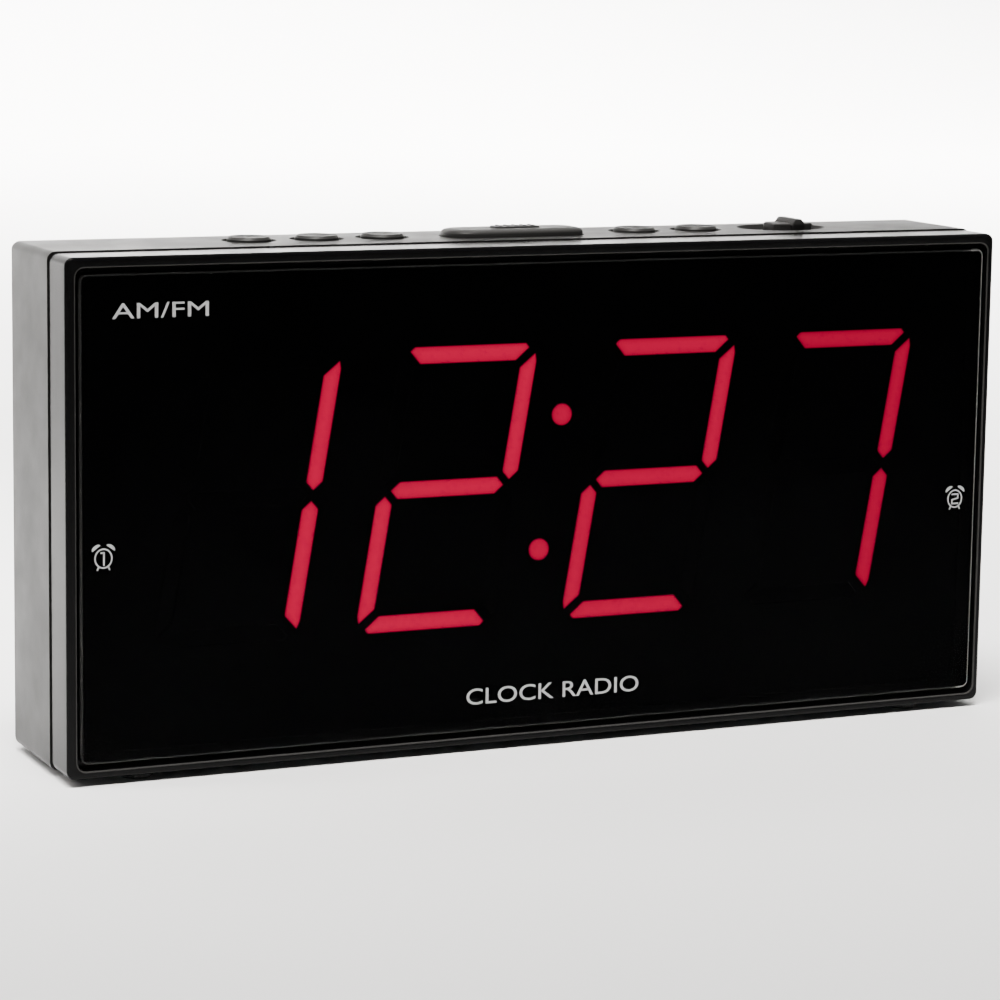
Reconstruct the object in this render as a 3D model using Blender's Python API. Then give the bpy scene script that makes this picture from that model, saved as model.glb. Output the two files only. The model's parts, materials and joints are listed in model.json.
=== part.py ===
"""A slim bedside clock radio with a jumbo seven-segment display, as separate solids.

Metres, +Z up. The display faces -Y, X runs along the width, and Z = 0 is the surface that the
rubber feet stand on. Driving dimensions are in millimetres below; every mesh is built in
millimetres and scaled once, in mesh_object().
"""

import math

import bmesh
import bpy
from mathutils import Vector

MM = 0.001

# Housing
WIDTH, DEPTH, HEIGHT = 180.0, 32.0, 89.0
FRONT = -DEPTH / 2
REAR = DEPTH / 2
FOOT = 1.0
TOP = FOOT + HEIGHT
MID = FOOT + HEIGHT / 2
WALL = 2.4
CORNER = 1.5
FRONT_ROUND = 0.55
BEZEL_REAR = FRONT + 8.5
PARTING = 0.7
BEZEL_STEP = 0.25
SHELL_FRONT = BEZEL_REAR + PARTING

# Display window
WINDOW_W, WINDOW_H = 176.4, 85.3
WINDOW_CENTRE = (0.3, MID - 0.2)
LENS_W, LENS_H = 175.1, 83.35
LENS_FRONT, LENS_BACK = FRONT + 0.4, FRONT + 2.5
LEDGE_FRONT, LEDGE_BACK = FRONT + 2.8, FRONT + 3.8
LEDGE_W, LEDGE_H = 172.0, 81.0

# Seven-segment digits
DIGIT_W, DIGIT_H = 26.4, 50.2
STROKE = 3.05
SLANT = 0.168
DIGIT_X = (-56.4, -19.3, 20.4, 57.2)
DIGIT_Z = FOOT + 46.25
COLON = ((2.7, FOOT + 58.3), (-1.4, FOOT + 34.2))
COLON_D = 4.0
PAD_GAP = 0.2
BOARD_FRONT, BOARD_BACK = FRONT + 7.4, FRONT + 8.6

# Controls on the top, all on one line
CONTROL_Y = FRONT + 20.5
KEYS = {
    "time_set_button": -50.0,
    "tune_down_button": -37.3,
    "tune_up_button": -24.8,
    "alarm_1_button": 25.2,
    "alarm_2_button": 37.9,
}
KEY_R, KEY_PROUD = 3.95, 0.7
KEY_HOLE_R, KEY_MOUTH_R = 4.25, 4.9
SNOOZE_X, SNOOZE_Y = -0.4, FRONT + 18.6
SNOOZE_W, SNOOZE_D, SNOOZE_CORNER = 26.8, 9.6, 4.0
SNOOZE_PROUD = 1.35
PAD_X, PAD_Y, PAD_W, PAD_D = 0.3, FRONT + 18.9, 8.8, 3.2
DISH_X, DISH_R = 55.9, 8.8
KNOB_X = DISH_X + 1.4
UNDER_TOP = TOP - WALL
KEY_PCB_TOP = TOP - 7.9
KEY_PCB_BOTTOM = KEY_PCB_TOP - 1.2
STEM_END = KEY_PCB_TOP + 3.2

# Rear
SCREW_POSTS = [(x, z) for x in (-82.8, 82.8) for z in (MID - 38.2, MID + 38.2)]
SPEAKER_X, SPEAKER_Z, SPEAKER_R = -46.0, 42.0, 25.0
BAY_X, BAY_Z, BAY_W, BAY_H = 36.0, 52.0, 51.0, 23.0
DOOR_W, DOOR_H = 54.0, 26.0
DOOR_AXIS_Y = 14.85
DOOR_AXIS_Z = BAY_Z - DOOR_H / 2 + 0.85
JACK_X, JACK_Z = 70.0, 16.0
BOARD_Y = (-2.9, -1.5)
BOARD_SCREWS = ((-12.0, 67.5), (73.0, 67.5), (38.0, 10.0))
FEET = [(x, y) for x in (-76.0, 76.0) for y in (-10.8, 10.5)]


# --- building blocks ---


def clear_scene():
    for obj in list(bpy.data.objects):
        bpy.data.objects.remove(obj, do_unlink=True)


def mesh_object(name, points, faces):
    """A mesh object from points in millimetres, with its faces turned outwards."""
    mesh = bpy.data.meshes.new(name)
    mesh.from_pydata([[c * MM for c in p] for p in points], [], faces)
    work = bmesh.new()
    work.from_mesh(mesh)
    bmesh.ops.remove_doubles(work, verts=work.verts, dist=1e-6)
    bmesh.ops.recalc_face_normals(work, faces=work.faces)
    work.to_mesh(mesh)
    work.free()
    obj = bpy.data.objects.new(name, mesh)
    bpy.context.scene.collection.objects.link(obj)
    return obj


def loft(name, rings):
    """One closed skin through rings that all have the same number of points, capped at both ends."""
    count = len(rings[0])
    points = [p for ring in rings for p in ring]
    faces = [list(range(count)), list(range(len(points) - count, len(points)))]
    for k in range(len(rings) - 1):
        for i in range(count):
            j = (i + 1) % count
            faces.append([k * count + i, k * count + j, (k + 1) * count + j, (k + 1) * count + i])
    return mesh_object(name, points, faces)


def box(name, x, y, z):
    """A plain block between the two limits given on each axis."""
    low = [(x[0], y[0], z[0]), (x[1], y[0], z[0]), (x[1], y[1], z[0]), (x[0], y[1], z[0])]
    return loft(name, [low, [(px, py, z[1]) for px, py, _ in low]])


def rounded(width, height, radius, steps=4):
    """Outline of a rounded rectangle about the origin, anticlockwise."""
    outline = []
    for quarter, (sx, sy) in enumerate(((1, 1), (-1, 1), (-1, -1), (1, -1))):
        cx = sx * (width / 2 - radius)
        cy = sy * (height / 2 - radius)
        for i in range(steps + 1):
            angle = math.radians(90 * (quarter + i / steps))
            outline.append((cx + radius * math.cos(angle), cy + radius * math.sin(angle)))
    return outline


def plate_xz(name, width, height, radius, y0, y1, centre=(0.0, MID), front=0.0, rear=0.0, steps=4):
    """A rounded plate across the Y axis; front and rear are the rounding radii of its two rims."""
    stations = []
    for i in range(4 if front else 1):
        angle = math.radians(30 * i)
        stations.append((front * (1 - math.sin(angle)), y0 + front * (1 - math.cos(angle))))
    for i in range(4 if rear else 1):
        angle = math.radians(90 - 30 * i)
        stations.append((rear * (1 - math.sin(angle)), y1 - rear * (1 - math.cos(angle))))
    rings = []
    for inset, y in stations:
        outline = rounded(width - 2 * inset, height - 2 * inset, max(radius - inset, 0.3), steps)
        rings.append([(centre[0] + u, y, centre[1] + v) for u, v in outline])
    return loft(name, rings)


def plate_xy(name, x, y, stations, steps=4):
    """A rounded plate standing on the Z axis, from (width, depth, corner radius, z) stations."""
    rings = []
    for width, depth, radius, z in stations:
        rings.append([(x + u, y + v, z) for u, v in rounded(width, depth, radius, steps)])
    return loft(name, rings)


def turned(name, profile, centre, axis="Z", segments=20, squash=1.0, phase=0.0):
    """A solid of revolution from (radius, height) points; a radius of 0 closes it on the axis."""
    points = []
    rows = []
    for radius, height in profile:
        ring = segments if radius > 1e-6 else 1
        rows.append((len(points), ring))
        for i in range(ring):
            angle = 2 * math.pi * (i + phase) / segments
            u, v = radius * math.cos(angle), radius * squash * math.sin(angle)
            local = {"Z": (u, v, height), "Y": (u, height, v), "X": (height, u, v)}[axis]
            points.append(tuple(a + b for a, b in zip(centre, local)))
    faces = []
    closed = rows[0][1] > 1
    pairs = list(zip(rows, rows[1:])) + ([(rows[-1], rows[0])] if closed else [])
    for (a, na), (b, nb) in pairs:
        for i in range(segments):
            j = (i + 1) % segments
            if na > 1 and nb > 1:
                faces.append([a + i, a + j, b + j, b + i])
            elif na > 1:
                faces.append([a + i, a + j, b])
            elif nb > 1:
                faces.append([a, b + j, b + i])
    return mesh_object(name, points, faces)


def rod(name, radius, start, end, centre, axis="Z", segments=16):
    """A plain cylinder from start to end along one axis."""
    return turned(name, [(0, start), (radius, start), (radius, end), (0, end)], centre, axis, segments)


def extruded(name, outline, y0, y1):
    """A prism across the Y axis from an outline of (x, z) points."""
    return loft(name, [[(x, y, z) for x, z in outline] for y in (y0, y1)])


def strip(name, path, thickness, x0, x1):
    """A flat ribbon of one thickness that follows a path of (y, z) points and spans x0 to x1."""
    sides = ([], [])
    for i, (y, z) in enumerate(path):
        before = path[max(i - 1, 0)]
        after = path[min(i + 1, len(path) - 1)]
        dy, dz = after[0] - before[0], after[1] - before[1]
        length = math.hypot(dy, dz)
        offset = (-dz / length * thickness / 2, dy / length * thickness / 2)
        for side, sign in zip(sides, (1, -1)):
            side.append((y + sign * offset[0], z + sign * offset[1]))
    outline = sides[0] + sides[1][::-1]
    return loft(name, [[(x, y, z) for y, z in outline] for x in (x0, x1)])


def coil_spring(name, start, length, radii, turns, wire, steps=10, sides=5):
    """A conical compression spring along X, as one capped tube."""
    rings = []
    total = int(turns * steps)
    for k in range(total + 1):
        share = k / total
        angle = 2 * math.pi * turns * share
        radius = radii[0] + (radii[1] - radii[0]) * share
        centre = Vector((start[0] + length * share, 0, 0))
        outward = Vector((0, math.cos(angle), math.sin(angle)))
        ring = []
        for i in range(sides):
            around = 2 * math.pi * i / sides
            reach = outward * (radius + wire * math.cos(around))
            point = centre + reach + Vector((wire * math.sin(around), 0, 0))
            ring.append((point.x, point.y + start[1], point.z + start[2]))
        rings.append(ring)
    return loft(name, rings)


def combine(target, tool, operation):
    """Adds or cuts one solid with the Boolean modifier, applies it, and removes the tool."""
    modifier = target.modifiers.new(operation.lower(), "BOOLEAN")
    modifier.operation = operation
    modifier.solver = "EXACT"
    modifier.object = tool
    graph = bpy.context.evaluated_depsgraph_get()
    result = bpy.data.meshes.new_from_object(target.evaluated_get(graph))
    target.modifiers.clear()
    target.data = result
    bpy.data.objects.remove(tool, do_unlink=True)
    return target


def cut(target, tool):
    return combine(target, tool, "DIFFERENCE")


def add(target, tool):
    return combine(target, tool, "UNION")


def joined(pieces):
    """Solids that don't touch, gathered in one mesh to serve as a single Boolean tool."""
    points, faces = [], []
    for piece in pieces:
        base = len(points)
        points += [tuple(v.co / MM) for v in piece.data.vertices]
        faces += [[base + i for i in polygon.vertices] for polygon in piece.data.polygons]
        bpy.data.objects.remove(piece, do_unlink=True)
    return mesh_object("tool", points, faces)


def finish(obj, colour, roughness, metallic=0.0, smooth=False, origin=None):
    """The material, the shading and, for a piece that moves, the origin on its joint's axis."""
    material = bpy.data.materials.new(obj.name)
    material.use_nodes = True
    shader = material.node_tree.nodes["Principled BSDF"]
    shader.inputs["Base Color"].default_value = (*colour, 1.0)
    shader.inputs["Roughness"].default_value = roughness
    shader.inputs["Metallic"].default_value = metallic
    material.diffuse_color = (*colour, 1.0)
    obj.data.materials.clear()
    obj.data.materials.append(material)
    if smooth:
        obj.data.shade_smooth()
        obj.data.set_sharp_from_angle(angle=math.radians(32))
    if origin:
        centre = Vector(origin) * MM
        for vertex in obj.data.vertices:
            vertex.co -= centre
        obj.location = centre
    return obj


# Colours
BLACK = (0.012, 0.012, 0.013)
LENS_BLACK = (0.004, 0.004, 0.005)
GREY_BLACK = (0.022, 0.022, 0.023)
RUBBER = (0.02, 0.02, 0.02)
PCB_GREEN = (0.01, 0.09, 0.03)
STEEL = (0.55, 0.55, 0.57)
RED = (0.45, 0.012, 0.03)
SILICONE = (0.45, 0.45, 0.43)


# --- display ---


def segment_outlines(shrink=0.0):
    """The seven segments of one digit about its centre, as (u, w) outlines in a to g order.

    shrink takes that much off each side, for the pads that stand in the windows.
    """
    half_w, half_h, stroke = DIGIT_W / 2, DIGIT_H / 2, STROKE
    inner = half_w - stroke
    centre = half_w - stroke / 2
    top = [
        (-centre + 2.55, half_h - stroke),
        (centre - 2.55, half_h - stroke),
        (centre - 0.3, half_h - 0.8),
        (centre - 1.05, half_h),
        (-centre + 1.05, half_h),
        (-centre + 0.3, half_h - 0.8),
    ]
    side = [
        (inner, half_h - 4.3),
        (inner, 2.4),
        (centre, 0.9),
        (half_w, 2.4),
        (half_w, half_h - 3.2),
        (half_w - 0.45, half_h - 1.85),
    ]
    reach = centre - 0.9
    middle = [
        (-reach, 0.0),
        (-reach + stroke / 2, -stroke / 2),
        (reach - stroke / 2, -stroke / 2),
        (reach, 0.0),
        (reach - stroke / 2, stroke / 2),
        (-reach + stroke / 2, stroke / 2),
    ]

    def flipped(outline, sx, sz):
        return [(sx * u, sz * w) for u, w in outline]

    shapes = [
        top,
        side,
        flipped(side, 1, -1),
        flipped(top, 1, -1),
        flipped(side, -1, -1),
        flipped(side, -1, 1),
        middle,
    ]
    return [inset_outline(shape, shrink) for shape in shapes]


def inset_outline(outline, amount):
    """A convex outline with every edge moved inwards by amount, turned anticlockwise."""
    area = sum(a[0] * b[1] - b[0] * a[1] for a, b in zip(outline, outline[1:] + outline[:1]))
    ordered = outline if area > 0 else outline[::-1]
    if not amount:
        return ordered
    count = len(ordered)
    moved = []
    for i in range(count):
        lines = []
        for a, b in ((ordered[i - 1], ordered[i]), (ordered[i], ordered[(i + 1) % count])):
            dx, dy = b[0] - a[0], b[1] - a[1]
            length = math.hypot(dx, dy)
            normal = (-dy / length, dx / length)
            lines.append((normal, normal[0] * a[0] + normal[1] * a[1] + amount))
        (n1, c1), (n2, c2) = lines
        det = n1[0] * n2[1] - n1[1] * n2[0]
        moved.append(((c1 * n2[1] - c2 * n1[1]) / det, (n1[0] * c2 - n2[0] * c1) / det))
    return moved


def display_outlines(shrink=0.0):
    """All 28 segments in place, with the slant, as (x, z) outlines."""
    placed = []
    for x in DIGIT_X:
        for outline in segment_outlines(shrink):
            placed.append([(x + u + SLANT * w, DIGIT_Z + w) for u, w in outline])
    return placed


def make_bezel():
    # The bezel stands a little inside the shell all round, so the parting line has a small step.
    width, height = WIDTH - 2 * BEZEL_STEP, HEIGHT - 2 * BEZEL_STEP
    bezel = plate_xz("front_bezel", width, height, CORNER, FRONT, BEZEL_REAR, front=FRONT_ROUND)
    cut(bezel, plate_xz("tool", WINDOW_W, WINDOW_H, 1.6, FRONT - 1, LEDGE_FRONT, WINDOW_CENTRE))
    cut(bezel, plate_xz("tool", LEDGE_W, LEDGE_H, 1.5, FRONT, BEZEL_REAR + 1))
    cut(bezel, plate_xz("tool", WIDTH - 4.4, HEIGHT - 4.4, 1.5, LEDGE_BACK, BEZEL_REAR + 1))
    # A pillar at each corner takes a case screw from behind.
    add(bezel, joined([rod("p", 3.2, LEDGE_BACK - 0.6, -3.8, (x, 0, z), "Y") for x, z in SCREW_POSTS]))
    cut(bezel, joined([rod("h", 1.5, -10.6, -3.0, (x, 0, z), "Y", 12) for x, z in SCREW_POSTS]))
    front_feet = [(x, y) for x, y in FEET if y < 0]
    cut(bezel, joined([rod("f", 3.35, FOOT - 1, FOOT + 0.5, (x, y, 0)) for x, y in front_feet]))
    finish(bezel, BLACK, 0.2, smooth=True)


def make_lens():
    lens = plate_xz("display_lens", LENS_W, LENS_H, 1.4, LENS_FRONT, LENS_BACK, WINDOW_CENTRE, 0.5)
    finish(lens, LENS_BLACK, 0.06, smooth=True)


def make_mask():
    """The black plate behind the lens: an island in the ledge's opening, and a flange behind it."""
    back = LEDGE_BACK + 1.3
    mask = plate_xz("segment_mask", WIDTH - 5.0, HEIGHT - 5.0, 1.3, LEDGE_BACK + 0.3, back)
    add(mask, plate_xz("tool", LEDGE_W - 0.6, LEDGE_H - 0.6, 1.2, LENS_BACK + 0.3, LEDGE_BACK + 0.8))
    # Blind notches for the bezel's pillars, closed in front so that they can't be seen.
    skin = LEDGE_FRONT + 0.25
    cut(mask, joined([rod("n", 3.6, skin, 0, (x, 0, z), "Y") for x, z in SCREW_POSTS]))
    cut(mask, joined([extruded("w", o, FRONT, back + 1) for o in display_outlines()]))
    cut(mask, joined([rod("c", COLON_D / 2, FRONT, back + 1, (x, 0, z), "Y") for x, z in COLON]))
    # Four pegs carry the diffuser and the board.
    pegs = [rod("p", 1.2, back - 0.5, BOARD_BACK + 0.8, (x, 0, z), "Y", 10) for x, z in peg_centres()]
    add(mask, joined(pegs))
    finish(mask, GREY_BLACK, 0.6)


def peg_centres():
    return [(x, z) for x in (-80.0, 80.0) for z in (MID - 22.0, MID + 22.0)]


def make_light_guide():
    """The red diffuser: a thin back plate with one raised pad for each window."""
    front, back = LEDGE_BACK + 1.6, LEDGE_BACK + 2.8
    guide = plate_xz("segment_light_guide", 168.0, 58.0, 1.0, front, back)
    cut(guide, joined([rod("h", 1.5, FRONT, 0, (x, 0, z), "Y", 10) for x, z in peg_centres()]))
    pads = [extruded("p", o, LENS_BACK + 0.5, front + 0.4) for o in display_outlines(PAD_GAP)]
    dot = COLON_D / 2 - PAD_GAP
    pads += [rod("d", dot, LENS_BACK + 0.5, front + 0.4, (x, 0, z), "Y") for x, z in COLON]
    add(guide, joined(pads))
    finish(guide, RED, 0.4)


def make_display_board():
    board = plate_xz("display_board", 170.0, 62.0, 1.0, BOARD_FRONT, BOARD_BACK)
    cut(board, joined([rod("h", 1.5, FRONT, 0, (x, 0, z), "Y", 10) for x, z in peg_centres()]))
    leds = []
    spots = []
    for outline in display_outlines():
        spots.append([sum(c) / len(outline) for c in zip(*outline)])
    for x, z in spots + list(COLON):
        leds.append(box("l", (x - 1, x + 1), (BOARD_FRONT - 0.8, BOARD_FRONT + 0.3), (z - 0.7, z + 0.7)))
    add(board, joined(leds))
    finish(board, PCB_GREEN, 0.45)


# --- housing ---


def snooze_outline(grow, z):
    return (SNOOZE_W + 2 * grow, SNOOZE_D + 2 * grow, SNOOZE_CORNER + grow, z)


def make_shell():
    shell = plate_xz("rear_shell", WIDTH, HEIGHT, CORNER, SHELL_FRONT, REAR, rear=2.0)
    inner_w, inner_h = WIDTH - 2 * WALL, HEIGHT - 2 * WALL
    cut(shell, plate_xz("tool", inner_w, inner_h, 0.9, SHELL_FRONT - 1, REAR - WALL))
    # The tongue that closes the parting line from inside.
    tongue = plate_xz("tongue", WIDTH - 5.0, HEIGHT - 5.0, 1.2, SHELL_FRONT - 2.0, SHELL_FRONT + 0.5)
    add(tongue, plate_xz("root", WIDTH - 4.0, HEIGHT - 4.0, 1.2, SHELL_FRONT, SHELL_FRONT + 2.0))
    cut(tongue, plate_xz("t", WIDTH - 7.4, HEIGHT - 7.4, 1.0, SHELL_FRONT - 3, SHELL_FRONT + 3))
    cut(tongue, joined([rod("n", 3.6, SHELL_FRONT - 3, SHELL_FRONT + 3, (x, 0, z), "Y") for x, z in SCREW_POSTS]))
    add(shell, tongue)
    # Screw tubes, run from the rear wall towards the bezel's pillars.
    add(shell, joined([rod("t", 3.9, -3.2, REAR - 1.5, (x, 0, z), "Y") for x, z in SCREW_POSTS]))
    cut(shell, joined([rod("w", 2.8, 3.0, REAR + 1, (x, 0, z), "Y", 14) for x, z in SCREW_POSTS]))
    cut(shell, joined([rod("h", 1.5, -4.0, 3.5, (x, 0, z), "Y", 12) for x, z in SCREW_POSTS]))
    # Pillars for the main board.
    pillars = [rod("p", 2.6, BOARD_Y[1] + 0.1, REAR - 1.5, (x, 0, z), "Y", 12) for x, z in BOARD_SCREWS]
    add(shell, joined(pillars))
    cut(shell, joined([rod("h", 1.1, -3.0, 5.0, (x, 0, z), "Y", 10) for x, z in BOARD_SCREWS]))
    cut_top_openings(shell)
    cut_rear_openings(shell)
    # Saddles under the ferrite rod, and pillars for the key board.
    for x in (-70.0, -24.0):
        add(shell, box("saddle", (x - 1.5, x + 1.5), (2.0, 10.0), (FOOT + WALL - 0.5, 6.6)))
    for x in (-62.0, 72.0):
        add(shell, rod("p", 2.4, KEY_PCB_TOP + 0.1, UNDER_TOP + 0.5, (x, CONTROL_Y, 0), segments=12))
        cut(shell, rod("h", 1.1, KEY_PCB_TOP - 1, UNDER_TOP - 0.6, (x, CONTROL_Y, 0), segments=10))
    rear_feet = [(x, y) for x, y in FEET if y > 0]
    cut(shell, joined([rod("f", 3.35, FOOT - 1, FOOT + 0.5, (x, y, 0)) for x, y in rear_feet]))
    finish(shell, BLACK, 0.3, smooth=True)


def cut_top_openings(shell):
    """Conical key mouths, the snooze bar's well, and the knob's dish with its slot."""
    holes = []
    for x in KEYS.values():
        profile = [(0, UNDER_TOP - 1), (KEY_HOLE_R, UNDER_TOP - 1), (KEY_HOLE_R, TOP - 1.1)]
        profile += [(KEY_MOUTH_R, TOP - 0.05), (KEY_MOUTH_R, TOP + 1), (0, TOP + 1)]
        holes.append(turned("k", profile, (x, CONTROL_Y, 0), segments=20))
    wells = [snooze_outline(0.3, UNDER_TOP - 1), snooze_outline(0.3, TOP + 1)]
    holes.append(plate_xy("s", SNOOZE_X, SNOOZE_Y, wells))
    rim = DISH_R + 0.1
    dish = [(0, TOP - 1.3), (DISH_R - 1.4, TOP - 1.3), (DISH_R, TOP + 0.02), (rim, TOP + 1), (0, TOP + 1)]
    holes.append(turned("d", dish, (DISH_X, CONTROL_Y, 0), segments=32, squash=0.78))
    cut(shell, joined(holes))
    slot = (DISH_X - 3.2, DISH_X + 3.2)
    cut(shell, box("slot", slot, (CONTROL_Y - 1.5, CONTROL_Y + 1.5), (UNDER_TOP - 1, TOP)))


def cut_rear_openings(shell):
    """Grille slots, the battery opening with its hinge sockets and finger notch, and the inlet."""
    slots = []
    for k in range(-4, 5):
        z = SPEAKER_Z + 5.0 * k
        half = math.sqrt((SPEAKER_R - 3.0) ** 2 - (5.0 * k) ** 2)
        slots.append(plate_xz("g", 2 * half, 1.8, 0.85, REAR - 4, REAR + 1, (SPEAKER_X, z), steps=2))
    cut(shell, joined(slots))
    ring = [(26.9, REAR - 6.4), (28.1, REAR - 6.4), (28.1, REAR - WALL + 0.5), (26.9, REAR - WALL + 0.5)]
    add(shell, turned("ring", ring, (SPEAKER_X, 0, SPEAKER_Z), "Y", 32))
    half_w, half_h = DOOR_W / 2 + 0.3, DOOR_H / 2 + 0.3
    span_x, span_z = (BAY_X - half_w, BAY_X + half_w), (BAY_Z - half_h, BAY_Z + half_h)
    cut(shell, box("bay", span_x, (REAR - 4, REAR + 1), span_z))
    sockets = (BAY_X - half_w - 1.6, BAY_X + half_w + 1.6)
    cut(shell, rod("pins", 0.8, *sockets, (0, DOOR_AXIS_Y, DOOR_AXIS_Z), "X", 12))
    notch = [(0, REAR - 1.3), (3.2, REAR - 1.3), (5.0, REAR + 0.5), (0, REAR + 0.5)]
    cut(shell, turned("notch", notch, (BAY_X, 0, BAY_Z + half_h), "Y", 16))
    cut(shell, rod("inlet", 3.9, REAR - 4, REAR + 1, (JACK_X, 0, JACK_Z), "Y", 24))


# --- controls ---


def make_keys():
    for name, x in KEYS.items():
        crown = TOP + KEY_PROUD
        profile = [
            (0, STEM_END),
            (2.0, STEM_END),
            (2.0, UNDER_TOP - 1.2),
            (5.3, UNDER_TOP - 1.2),
            (5.3, UNDER_TOP - 0.3),
            (KEY_R, UNDER_TOP - 0.3),
            (KEY_R, crown - 0.45),
            (KEY_R - 0.4, crown),
            (2.6, crown - 0.18),
            (0, crown - 0.32),
        ]
        key = turned(name, profile, (x, CONTROL_Y, 0), segments=20)
        finish(key, GREY_BLACK, 0.28, smooth=True, origin=(x, CONTROL_Y, TOP))
        make_dome("key_dome_" + name.replace("_button", ""), x)


def make_dome(name, x, y=CONTROL_Y, radius=3.6):
    profile = [
        (0, KEY_PCB_TOP + 0.1),
        (radius, KEY_PCB_TOP + 0.1),
        (radius, KEY_PCB_TOP + 0.8),
        (radius - 0.9, KEY_PCB_TOP + 2.2),
        (1.8, STEM_END - 0.1),
        (0, STEM_END - 0.1),
    ]
    dome = turned(name, profile, (x, y, 0), segments=14)
    finish(dome, SILICONE, 0.6, smooth=True)


def make_snooze():
    stations = [
        snooze_outline(0.9, UNDER_TOP - 1.3),
        snooze_outline(0.9, UNDER_TOP - 0.3),
        snooze_outline(0.0, UNDER_TOP - 0.3),
        snooze_outline(0.0, TOP + 0.55),
        snooze_outline(-0.25, TOP + 0.95),
        snooze_outline(-0.75, TOP + SNOOZE_PROUD - 0.13),
        snooze_outline(-1.5, TOP + SNOOZE_PROUD),
    ]
    bar = plate_xy("snooze_bar", SNOOZE_X, SNOOZE_Y, stations, steps=5)
    add(bar, rod("stem", 2.4, STEM_END, UNDER_TOP - 0.8, (SNOOZE_X, SNOOZE_Y, 0), segments=12))
    # The pocket that the grip pad is set in.
    floor = TOP + SNOOZE_PROUD - 0.6
    pocket = [(PAD_W + 0.3, PAD_D + 0.3, 0.7, floor), (PAD_W + 0.3, PAD_D + 0.3, 0.7, TOP + 3)]
    cut(bar, plate_xy("pocket", PAD_X, PAD_Y, pocket, steps=2))
    finish(bar, GREY_BLACK, 0.3, smooth=True, origin=(SNOOZE_X, SNOOZE_Y, TOP))
    crown = TOP + SNOOZE_PROUD + 0.3
    levels = [
        (PAD_W, PAD_D, 0.6, floor + 0.1),
        (PAD_W, PAD_D, 0.6, crown - 0.1),
        (PAD_W - 0.3, PAD_D - 0.3, 0.5, crown),
    ]
    pad = plate_xy("snooze_pad", PAD_X, PAD_Y, levels, steps=2)
    bumps = []
    for k in range(5):
        for m in (-1, 1):
            centre = (PAD_X + 1.6 * (k - 2), PAD_Y + 0.75 * m, 0)
            profile = [(0, crown - 0.15), (0.42, crown - 0.15), (0.34, crown + 0.12), (0, crown + 0.17)]
            bumps.append(turned("b", profile, centre, segments=8))
    add(pad, joined(bumps))
    finish(pad, BLACK, 0.45, smooth=True, origin=(SNOOZE_X, SNOOZE_Y, TOP))
    make_dome("key_dome_snooze", SNOOZE_X, SNOOZE_Y, 4.2)


def make_slide_switch():
    base = TOP - 1.0
    stations = [
        (7.4, 5.3, 0.9, base),
        (8.0, 5.9, 1.2, base + 0.3),
        (8.0, 5.9, 1.2, TOP + 0.7),
        (7.5, 5.4, 0.95, TOP + 0.9),
    ]
    knob = plate_xy("slide_knob", KNOB_X, CONTROL_Y, stations, steps=3)
    # The finger ridge across the direction of travel, a little longer than the slider.
    ridge = [
        (2.6, 7.0, 0.5, TOP - 0.7),
        (3.0, 7.4, 0.6, TOP + 0.6),
        (2.6, 7.4, 0.6, TOP + 0.95),
        (1.5, 7.2, 0.5, TOP + 1.65),
        (1.0, 6.8, 0.4, TOP + 1.75),
    ]
    add(knob, plate_xy("ridge", KNOB_X + 0.4, CONTROL_Y, ridge, steps=2))
    across = (CONTROL_Y - 1.3, CONTROL_Y + 1.3)
    cut(knob, box("socket", (KNOB_X - 1.4, KNOB_X + 1.4), across, (base - 1, TOP + 0.3)))
    finish(knob, GREY_BLACK, 0.32, smooth=True, origin=(KNOB_X, CONTROL_Y, TOP))
    lever_y = (CONTROL_Y - 1.0, CONTROL_Y + 1.0)
    lever = box("slide_switch_lever", (KNOB_X - 1.1, KNOB_X + 1.1), lever_y, (KEY_PCB_TOP + 1.5, TOP))
    finish(lever, (0.35, 0.35, 0.34), 0.5, origin=(KNOB_X, CONTROL_Y, TOP))
    body_y = (CONTROL_Y - 3.2, CONTROL_Y + 3.2)
    body = box("slide_switch_body", (DISH_X - 6.5, DISH_X + 6.5), body_y, (KEY_PCB_TOP + 0.1, KEY_PCB_TOP + 4.2))
    pocket_y = (CONTROL_Y - 1.3, CONTROL_Y + 1.3)
    cut(body, box("pocket", (DISH_X - 3.2, DISH_X + 3.2), pocket_y, (KEY_PCB_TOP + 1.2, KEY_PCB_TOP + 5)))
    finish(body, STEEL, 0.35, 0.9)


def make_key_board():
    stations = [(142.0, 14.0, 1.0, KEY_PCB_BOTTOM), (142.0, 14.0, 1.0, KEY_PCB_TOP)]
    board = plate_xy("key_board", 5.0, CONTROL_Y, stations, steps=2)
    spots = (-62.0, 72.0)
    cut(board, joined([rod("h", 1.3, 0, TOP, (x, CONTROL_Y, 0), segments=10) for x in spots]))
    finish(board, PCB_GREEN, 0.45)
    for name, x in zip(("left", "right"), spots):
        screw = board_screw("key_board_screw_" + name, (x, CONTROL_Y, KEY_PCB_BOTTOM - 0.1), "Z", 1)
        finish(screw, STEEL, 0.3, 1.0, smooth=True)


def board_screw(name, seat, axis, way):
    """A small pan-head screw: its head is under the seat, and its shank runs along the axis."""
    levels = [(0, -1.3), (1.2, -1.3), (1.9, -0.7), (1.9, 0), (0.85, 0), (0.85, 5.0), (0, 5.4)]
    if way < 0:
        levels = [(r, -h) for r, h in levels]
    return turned(name, levels, seat, axis, segments=10)


# --- electronics ---


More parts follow.
